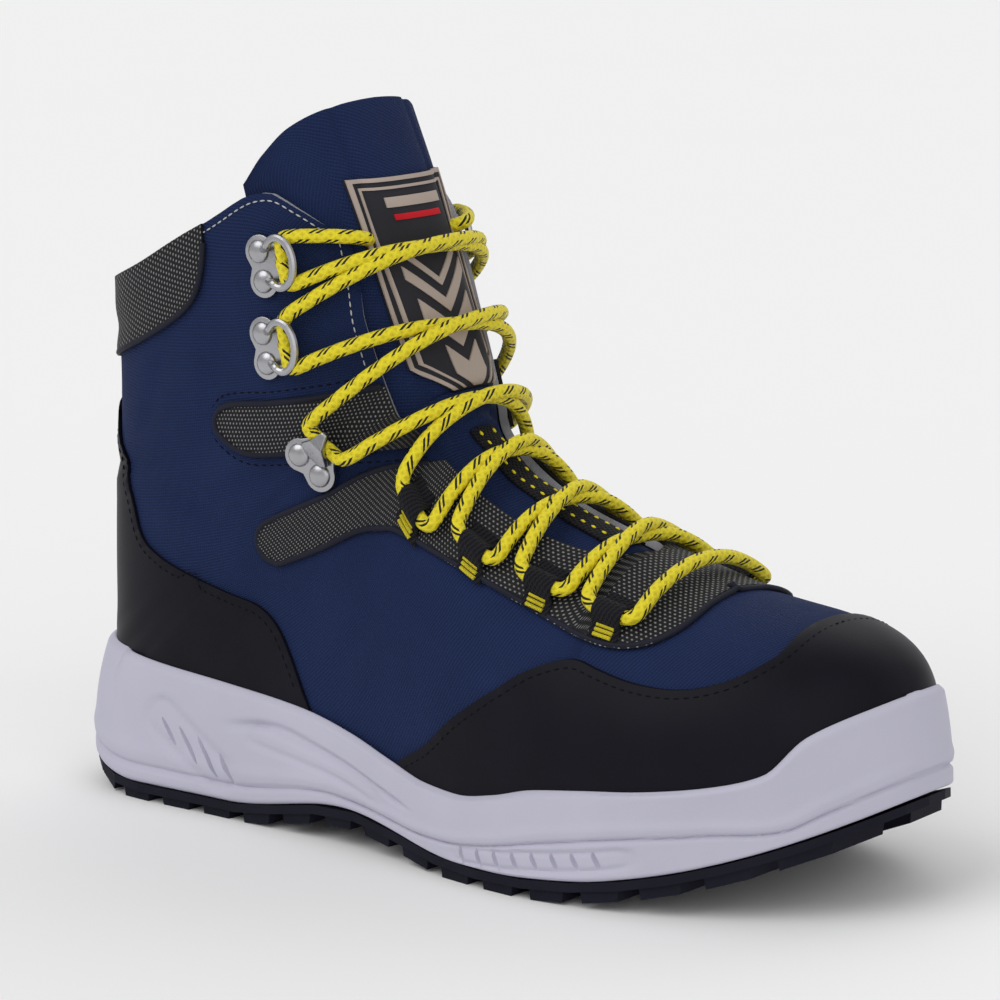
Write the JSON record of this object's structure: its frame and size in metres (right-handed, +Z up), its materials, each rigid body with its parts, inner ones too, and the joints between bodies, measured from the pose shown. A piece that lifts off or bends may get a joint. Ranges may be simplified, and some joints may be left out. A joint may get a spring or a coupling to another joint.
{
  "type": "wading boot",
  "caption": "Ankle-high laced wading boot with a navy fabric upper, black toe and heel guards, light foam midsole and lugged outsole; protects the foot in water.",
  "frame": {"origin": "on the floor at the middle of the boot's box", "axes": "+X from the heel to the toe, -Y to the outer side of this right boot, +Z up"},
  "size_m": [0.31, 0.1129, 0.2252],
  "materials": {
    "navy_softshell": "fine twill softshell, matte",
    "black_film": "satin black film",
    "charcoal_mesh": "open mesh, matte",
    "lavender_foam": "moulded foam, satin",
    "black_rubber": "moulded rubber, matte",
    "grey_lining": "brushed lining, matte",
    "black_webbing": "woven webbing, matte",
    "charcoal_badge": "moulded patch, satin",
    "gunmetal": "satin",
    "yellow_lace": "braided cord, matte"
  },
  "bodies": {
    "root": {"ankle_band_inner": "charcoal_mesh", "ankle_band_outer": "charcoal_mesh", "badge": "charcoal_badge", "centre_webbing": "black_webbing", "collar_panel": "charcoal_mesh", "drain_1": "gunmetal", "drain_2": "gunmetal", "heel_counter": "black_film", "hook_inner_1": "gunmetal", "hook_inner_2": "gunmetal", "hook_inner_3": "gunmetal", "hook_outer_1": "gunmetal", "hook_outer_2": "gunmetal", "hook_outer_3": "gunmetal", "insole": "grey_lining", "lace_bar": "yellow_lace", "lace_cross_1": "yellow_lace", "lace_cross_2": "yellow_lace", "lace_cross_3": "yellow_lace", "lace_cross_4": "yellow_lace", "lace_cross_5": "yellow_lace", "lace_cross_6": "yellow_lace", "lace_end_inner": "yellow_lace", "lace_end_outer": "yellow_lace", "mesh_vamp": "charcoal_mesh", "midsole": "lavender_foam", "outsole": "black_rubber", "pull_loop": "black_webbing", "rivet_inner_1_a": "gunmetal", "rivet_inner_1_b": "gunmetal", "rivet_inner_2_a": "gunmetal", "rivet_inner_2_b": "gunmetal", "rivet_inner_3_a": "gunmetal", "rivet_inner_3_b": "gunmetal", "rivet_outer_1_a": "gunmetal", "rivet_outer_1_b": "gunmetal", "rivet_outer_2_a": "gunmetal", "rivet_outer_2_b": "gunmetal", "rivet_outer_3_a": "gunmetal", "rivet_outer_3_b": "gunmetal", "tab_inner_1": "black_webbing", "tab_inner_2": "black_webbing", "tab_inner_3": "black_webbing", "tab_inner_4": "black_webbing", "tab_outer_1": "black_webbing", "tab_outer_2": "black_webbing", "tab_outer_3": "black_webbing", "tab_outer_4": "black_webbing", "toe_rand": "black_film", "tongue": "navy_softshell", "upper": "navy_softshell"}
  },
  "joints": []
}
